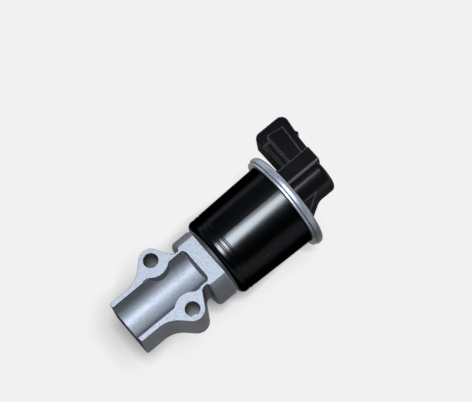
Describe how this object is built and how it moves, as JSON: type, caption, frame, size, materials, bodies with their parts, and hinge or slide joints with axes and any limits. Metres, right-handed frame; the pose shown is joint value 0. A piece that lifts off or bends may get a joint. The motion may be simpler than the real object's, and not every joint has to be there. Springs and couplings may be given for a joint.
{
  "type": "exhaust gas recirculation valve",
  "caption": "Solenoid-driven exhaust gas recirculation valve with a cast eared base, round metal can and side connector socket.",
  "frame": {"origin": "on the flat mounting face under the casting, midway between the two bolt holes", "axes": "+X along the valve axis towards the connector cap, +Y towards the side socket, +Z away from the mounting face"},
  "size_m": [0.147, 0.07, 0.0615],
  "materials": {
    "cast_alloy": "shot-blasted satin casting",
    "stainless": "turned stainless steel",
    "bronze": "sintered bronze",
    "seal_rubber": "moulded rubber",
    "plated_steel": "plated soft iron",
    "can_paint": "gloss black coating",
    "ring_steel": "rolled steel, satin",
    "spool_plastic": "moulded",
    "copper_winding": "enamelled copper",
    "cap_plastic": "satin black moulding",
    "contact_metal": "tin-plated brass",
    "card_ceramic": "ceramic card",
    "sensor_plastic": "moulded"
  },
  "bodies": {
    "valve_body": {"base_casting": "cast_alloy", "valve_seat": "stainless", "stem_shield": "stainless", "stem_bushing": "bronze", "stem_seal": "seal_rubber", "pole_plate": "plated_steel", "can_screws": "plated_steel", "solenoid_can": "can_paint", "coil_cushion": "seal_rubber", "pole_sleeve": "plated_steel", "guide_tube": "stainless", "return_spring": "stainless", "upper_pole": "plated_steel", "bobbin": "spool_plastic", "coil_winding": "copper_winding", "crimp_ring": "ring_steel", "cap_seal": "seal_rubber", "connector_cap": "cap_plastic", "connector_pins": "contact_metal", "coil_leads": "contact_metal", "sensor_card": "card_ceramic", "sensor_spring": "stainless", "sensor_housing": "sensor_plastic"},
    "pintle_assembly": {"pintle": "stainless", "stem_clip": "stainless", "armature": "plated_steel", "sensor_rod": "stainless", "sensor_carriage": "sensor_plastic", "sensor_wiper": "contact_metal"}
  },
  "joints": [
    {"name": "valve_lift", "type": "slide", "parent": "valve_body", "child": "pintle_assembly", "axis": [1, 0, 0], "range_m": [0, 0.004], "stiffness_N_per_m": 1500, "springref_m": -0.008, "deforming": ["return_spring", "sensor_spring"]}
  ]
}
